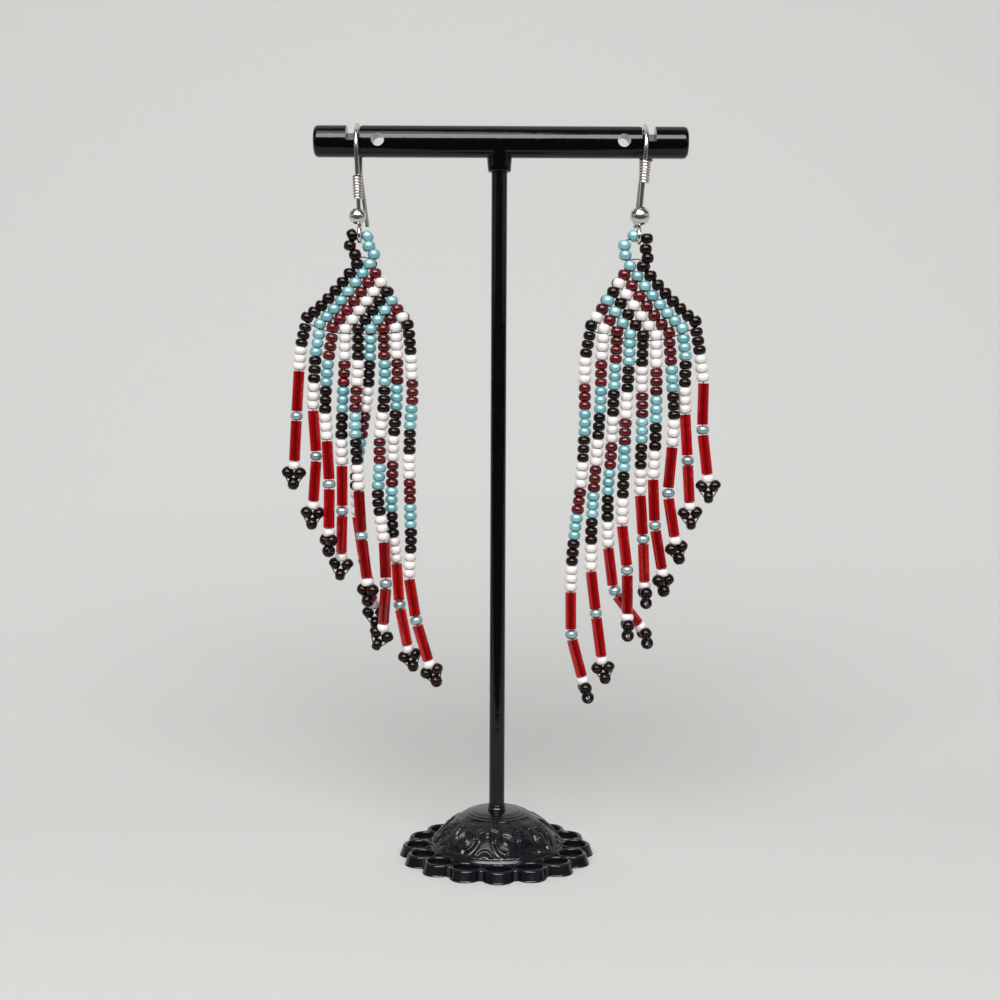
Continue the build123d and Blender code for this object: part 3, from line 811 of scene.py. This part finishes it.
def makeLoop(name):
    shape = bmesh.new()
    length = yoke["loopBead"]
    dice = random.Random(name + "loop")
    ear = ears[name]
    crown = yokePlace(name, 1, 0).z + seed["length"] / 2
    eye = eyePlaces[name]
    saddle = eye - up * (eyeDiameter / 2 - hookWire - sewing["radius"])
    for side, colour, column in (("outerLoop", "oxblood", 1), ("innerLoop", "turquoise", 0)):
        route = [saddle]
        for across, rise, slope in ear[side]:
            spot = Vector((eye.x + across, 0, crown + rise))
            along = Vector((sin(radians(slope)), 0, cos(radians(slope))))
            addBead(shape, spot, along, length, colour, dice)
            route += [spot + along * length / 2, spot - along * length / 2]
        route.append(yokePlace(name, 1, column) + up * seed["length"] / 2)
        addThread(shape, route)
    finishPiece(name + "BeadLoop", shape, beadMaterials, "seed_glass", name + "_bead_loop")


eyePlaces = {name: eyePlace(name) for name in ears}
for name in ears:
    makeYoke(name)
    makeLoop(name)
print("yokes and loops made")

# Strands, from the outer edge of the yoke inwards. route is the way of the seed beads as
# (right, back, down) from the yoke; lean and back are the two bugles' slopes, cut their lengths as
# shares of a bugle's, fall and spin the little three-bead picot's slope and turn.
strandTable = {
    "left": (
        (((-0.1, 0, 0), (-1.1, 0, 4.0), (-1.5, 0, 8.7)),
         (-3.4, -3.0), (0, 0), (1.03, 1.03), -3, 15),
        (((0, 0, 0), (-0.8, 0.1, 4.6), (-1.15, 0.2, 9.5), (-1.35, 0.35, 14.5)),
         (4.0, -4.0), (0, 0), (1.04, 1.02), -5, -25),
        (((0, 0, 0), (-0.75, -0.2, 4.8), (-1.2, -0.4, 9.6), (-1.35, -0.6, 14.4), (-1.0, -0.75, 19.4)),
         (2.8, -0.6), (0, -2), (0.98, 1.0), -1, 55),
        (((0, 0, 0), (-0.2, 0.1, 6.1), (-0.55, 0.2, 12.2), (-0.8, 0.3, 18.2), (-0.75, 0.4, 23.7)),
         (0.2, -2.2), (0, 10), (1.03, 0.97), -5, 0),
        (((0, 0, 0), (0.05, -0.8, 6.0), (-0.4, -0.9, 12.4), (-0.5, -1.1, 17.8), (-0.1, -1.15, 23.0),
          (0.15, -1.15, 28.1)),
         (3.4, 7.4), (0, -5), (1.03, 0.95), 0, 37),
        (((0, 0, 0), (-0.3, 0.7, 5.6), (-0.7, 0.95, 10.6), (-1.4, 1.15, 15.8), (-2.3, 1.2, 20.9),
          (-2.9, 1.2, 26.4), (-2.6, 1.15, 32.8)),
         (8.0, 12.0), (0, 0), (1.03, 0.93), 4, 0),
        (((0, 0, 0), (0.3, -0.4, 6.6), (0.1, -0.5, 12.9), (-0.65, -0.5, 18.6), (-0.65, -0.6, 23.9),
          (-1.05, -0.8, 29.1), (0.15, -1.1, 37.3)),
         (3.4, -4.5), (-8, 6), (0.91, 0.9), -24, 0),
        (((0.05, 0, 0), (0.3, 0.4, 6.5), (0.1, 0.5, 13.1), (-0.45, 0.5, 19.1), (-0.65, 0.6, 25.1),
          (-0.85, 0.8, 30.9), (-0.6, 1.1, 36.5), (0.05, 1.2, 41.6)),
         (3.4, 10.6), (5, 5), (0.96, 0.95), 17, 15),
        (((0.2, 0, 0), (0.7, -0.1, 5.5), (0.95, -0.2, 11.7), (0.5, -0.2, 17.5), (0.3, -0.3, 23.7),
          (0.5, -0.3, 30.7), (0.7, -0.4, 37.7), (0.35, -0.5, 44.7)),
         (9.4, 16.6), (0, 0), (0.95, 0.94), 24, 20),
    ),
    "right": (
        (((0.05, 0, 0), (0.9, 0, 4.8), (1.6, 0, 10.0)),
         (-0.6, 7.0), (0, 0), (1.06, 1.01), 2, 10),
        (((0.05, 0, 0), (0.75, 0.2, 4.6), (0.6, 0.3, 9.6), (0.75, 0.4, 14.5)),
         (3.8, 4.6), (0, 10), (1.05, 0.95), 5, 0),
        (((0, 0, 0), (0.4, -0.2, 4.8), (0.8, -0.3, 9.8), (1.05, -0.4, 14.6), (0.75, -0.4, 19.6)),
         (-4.8, 9.4), (0, 0), (1.04, 0.98), 14, -27),
        (((0, 0, 0), (0.15, 0.1, 6.3), (0.2, 0.2, 12.5), (0.1, 0.2, 18.7), (-0.25, 0.1, 24.9)),
         (2.8, 9.8), (0, 0), (1.06, 0.99), 3, -36),
        (((0, 0, 0), (-0.2, -0.1, 5.4), (-0.05, -0.2, 11.2), (-0.05, -0.2, 16.8), (-0.2, -0.1, 22.2),
          (-0.2, 0, 27.7)),
         (4.2, 3.2), (0, 8), (1.0, 0.98), 6, 85),
        (((-0.05, 0, 0), (-0.2, -0.1, 5.3), (-0.5, -0.2, 10.9), (-0.75, -0.3, 16.3), (-0.85, -0.4, 21.9),
          (-1.05, -0.5, 27.7), (-1.15, -0.6, 33.4)),
         (7.2, 0.6), (0, 0), (1.02, 0.98), 2, 88),
        (((0, 0, 0), (-0.25, 0.1, 5.4), (-0.5, 0.2, 11.0), (-0.65, 0.3, 16.6), (-0.9, 0.4, 22.2),
          (-1.35, 0.6, 27.6), (-1.35, 0.8, 32.8), (-1.15, 1.1, 38.1)),
         (7.6, 37.6), (6, 6), (0.98, 0.92), 17, 80),
        (((-0.1, 0, 0), (-0.5, -0.1, 5.7), (-0.5, -0.1, 11.7), (-0.85, 0, 17.7), (-1.25, 0.1, 23.7),
          (-1.75, 0, 29.7), (-2.0, -0.1, 36.1), (-2.0, -0.2, 42.7)),
         (7.0, 7.8), (0, 0), (0.97, 1.0), 11, 27),
        (((-0.1, 0, 0), (-1.05, 0.1, 5.2), (-1.05, 0.1, 11.0), (-0.95, 0, 17.0), (-1.3, -0.1, 23.2),
          (-1.75, -0.2, 29.2), (-2.55, -0.2, 35.2), (-3.1, -0.3, 41.0), (-3.3, -0.3, 47.1)),
         (0.6, 14.8), (0, 0), (0.96, 0.98), 17, 86),
    ),
}
strandKit = {
    "clearance": 0.10,
    "groupBeads": 3,
    "beadShare": 0.985,       # a bead's length as a share of its place on the thread
    "coloursUp": ("pearl", "oxblood", "turquoise", "garnet"),    # group by group from the bugles up
    "bugleLength": 7.0,
    "bugleDiameter": 2.0,
    "bugleBore": 0.8,
    "bugleSides": 20,
    "bugleEdge": 0.08,        # fire-polished edge of a cut end
    "bugleCrease": 30.0,
    "picotLength": 1.7,
    "sideReach": 1.15,
    "sideDrop": 0.6,
    "sideTurn": 42.0,
    "footDrop": 2.55,
}


# A direction that hangs down but for a slope to the right and one to the back
def hanging(lean, back):
    lean, back = radians(lean), radians(back)
    return Vector((sin(lean) * cos(back), sin(back), -cos(lean) * cos(back)))


# From the thread's bend to the end of a bead beside it
def bendRoom(before, after):
    half = before.angle(after) / 2
    return strandKit["clearance"] / 2 / cos(half) + seed["diameter"] / 2 * tan(half)


# The point at a distance along straight runs
def alongRuns(points, distance):
    for start, end in zip(points, points[1:]):
        run = (end - start).length
        if distance <= run or end == points[-1]:
            return start + (end - start) * (distance / run)
        distance -= run


def makeStrand(name, number):
    route, lean, back, cut, fall, spin = strandTable[name][number - 1]
    dice = random.Random(f"{name}{number}")
    shape = bmesh.new()
    tubes = bmesh.new()
    down = -up
    top = yokePlace(name, yoke["rows"], yoke["rows"] + 1 - number) + down * (seed["length"] / 2)
    points = [top + Vector((right, rear, -drop)) for right, rear, drop in route]
    first = (points[1] - points[0]).normalized()
    points[0] += first * 2 * bendRoom(down, first)

    # Seed beads fill the route with equal shares
    count = strandKit["groupBeads"] * (number + 1)
    length = sum((b - a).length for a, b in zip(points, points[1:]))
    share = length / count
    for n in range(count):
        head, foot = alongRuns(points, share * n), alongRuns(points, share * (n + 1))
        group = (count - 1 - n) // strandKit["groupBeads"]
        colour = strandKit["coloursUp"][group % len(strandKit["coloursUp"])]
        addBead(shape, (head + foot) / 2, head - foot, share * strandKit["beadShare"], colour, dice)
    addThread(shape, [top] + points)

    # Two bugles with a steel bead between them and a pearl below
    slopes = [hanging(*pair) for pair in zip(lean, back)]
    middle = (slopes[0] + slopes[1]).normalized()
    chain = (
        ("bugle", slopes[0], strandKit["bugleLength"] * cut[0]),
        ("steel", middle, seed["length"]),
        ("bugle", slopes[1], strandKit["bugleLength"] * cut[1]),
        ("pearl", slopes[1], seed["length"]),
    )
    end, heading = points[-1], (points[-1] - points[-2]).normalized()
    for kind, slope, long in chain:
        gap = bendRoom(heading, slope)
        bend = end + heading * gap
        start = bend + slope * gap
        addThread(shape, [end, bend, start])
        end, heading = start + slope * long, slope
        if kind == "bugle":
            addBugle(tubes, start, end, dice)
            addThread(shape, [start, end])
        else:
            addBead(shape, (start + end) / 2, slope, long, kind, dice)
            addThread(shape, [start, end])
    addPicot(shape, end, fall, spin, dice)
    finishPiece(f"{name}Strand{number}", shape, beadMaterials, "seed_glass", f"{name}_strand_{number}")
    finishPiece(f"{name}Bugles{number}", tubes, [ruby], "bugle_glass", f"{name}_bugles_{number}")


def addBugle(target, start, end, dice):
    outer, inner = strandKit["bugleDiameter"] / 2, strandKit["bugleBore"] / 2
    half, edge = (end - start).length / 2, strandKit["bugleEdge"]
    outline = [(inner, half - edge), (inner + edge, half), (outer - edge, half), (outer, half - edge)]
    outline += [(radius, -height) for radius, height in reversed(outline)]
    tube = turned(outline, strandKit["bugleSides"])
    creaseByAngle(tube, strandKit["bugleCrease"])
    joinShape(target, tube, standAt((start + end) / 2, end - start), 0, dice.random())


# Three dark beads on a small loop of thread below the strand
def addPicot(target, start, fall, spin, dice):
    down = hanging(fall, 0)
    right = Vector((-down.z, 0, down.x))
    across = right * cos(radians(spin)) - Vector((0, sin(radians(spin)), 0))
    half = strandKit["picotLength"] / 2
    foot = start + down * strandKit["footDrop"]
    addBead(target, foot, across, strandKit["picotLength"], "oxblood", dice)
    for side in (-1, 1):
        middle = start + across * side * strandKit["sideReach"] + down * strandKit["sideDrop"]
        turn = radians(strandKit["sideTurn"])
        along = across * side * sin(turn) + down * cos(turn)
        addBead(target, middle, along, strandKit["picotLength"], "oxblood", dice)
        ends = [middle - along * half, middle + along * half]
        addThread(target, [start] + ends + [foot + across * side * half, foot])


for name in ears:
    for number in range(1, yoke["rows"] + 2):
        makeStrand(name, number)
print("strands made")

# Hooks: silver wire and ball, and a coil of finer wire wound on the leg
coil = {
    "length": 4.4,
    "turns": 8,
    "ringSteps": 24,
    "drop": {"left": 4.9, "right": 2.0},          # below the hook's bend
    "diameter": {"left": 1.75, "right": 1.95},
    "eyeDrop": 15.2,
    "bendRadius": 4.0,
    "bendBack": 0.4,
    "endLength": 0.7,         # the cut end that stands out at the top
    "endLean": 0.2,           # outwards, as a share of the wire's radius
    "wireShare": 0.9,         # thinner than the sleeve's wall, so that the turns part a little
    "wireSides": 10,
    "crease": 60.0,
}
hookCreases = {"EarWire": 60.0, "Ball": 40.0}


# The foot of the hook's leg and its way up to the bend
def hookLeg(name):
    foot = eyePlaces[name] + up * (eyeDiameter - hookWire) / 2
    rise = eyePlaces[name].z + coil["eyeDrop"] - foot.z
    reach = sqrt(coil["bendBack"] ** 2 + rise ** 2 - coil["bendRadius"] ** 2)
    slope = atan2(coil["bendBack"], rise) - atan2(coil["bendRadius"], reach)
    return foot, Vector((-ears[name]["eyeFromBend"], reach * sin(slope), reach * cos(slope))).normalized()


def makeCoil(name):
    foot, along = hookLeg(name)
    drop = eyePlaces[name].z + coil["eyeDrop"] - coil["drop"][name] - foot.z
    upper = foot + along * (drop / along.z)
    outer = coil["diameter"][name] / 2
    wire = (outer - hookWire / 2) / 2 * coil["wireShare"]
    pitch = (coil["length"] - 2 * wire) / coil["turns"]
    shape = bmesh.new()
    bmesh.ops.create_circle(shape, segments=coil["wireSides"], radius=wire)
    bmesh.ops.rotate(shape, matrix=Matrix.Rotation(pi / 2, 3, "X"), verts=shape.verts)
    bmesh.ops.translate(shape, vec=(outer - wire, 0, 0), verts=shape.verts)
    steps = coil["ringSteps"]
    first = bmesh.ops.extrude_edge_only(shape, edges=shape.edges[:])
    ends = [part for part in first["geom"] if isinstance(part, bmesh.types.BMVert)]
    bmesh.ops.translate(shape, vec=(coil["endLean"] * wire, -coil["endLength"], 0), verts=ends)
    ring = [vert for vert in shape.verts if vert not in ends]
    edges = [edge for edge in shape.edges if all(vert in ring for vert in edge.verts)]
    bmesh.ops.spin(shape, geom=ring + edges, cent=(0, 0, 0), axis=up, dvec=(0, 0, -pitch / steps),
                   angle=2 * pi * coil["turns"], steps=steps * coil["turns"])
    bmesh.ops.holes_fill(shape, edges=[edge for edge in shape.edges if edge.is_boundary])
    bmesh.ops.transform(shape, matrix=standAt(upper - along * wire, along), verts=shape.verts)
    for face in shape.faces:
        face.smooth = True
    creaseByAngle(shape, coil["crease"])
    finishPiece(name + "Coil", shape, [silver], "hook_silver", name + "_hook_coil")


for name in ears:
    smoothCopy(name + "EarWire", name + "_ear_hook", silver, "hook_silver", hookCreases["EarWire"])
    smoothCopy(name + "Ball", name + "_hook_ball", silver, "hook_silver", hookCreases["Ball"])
    makeCoil(name)
print("hooks made")
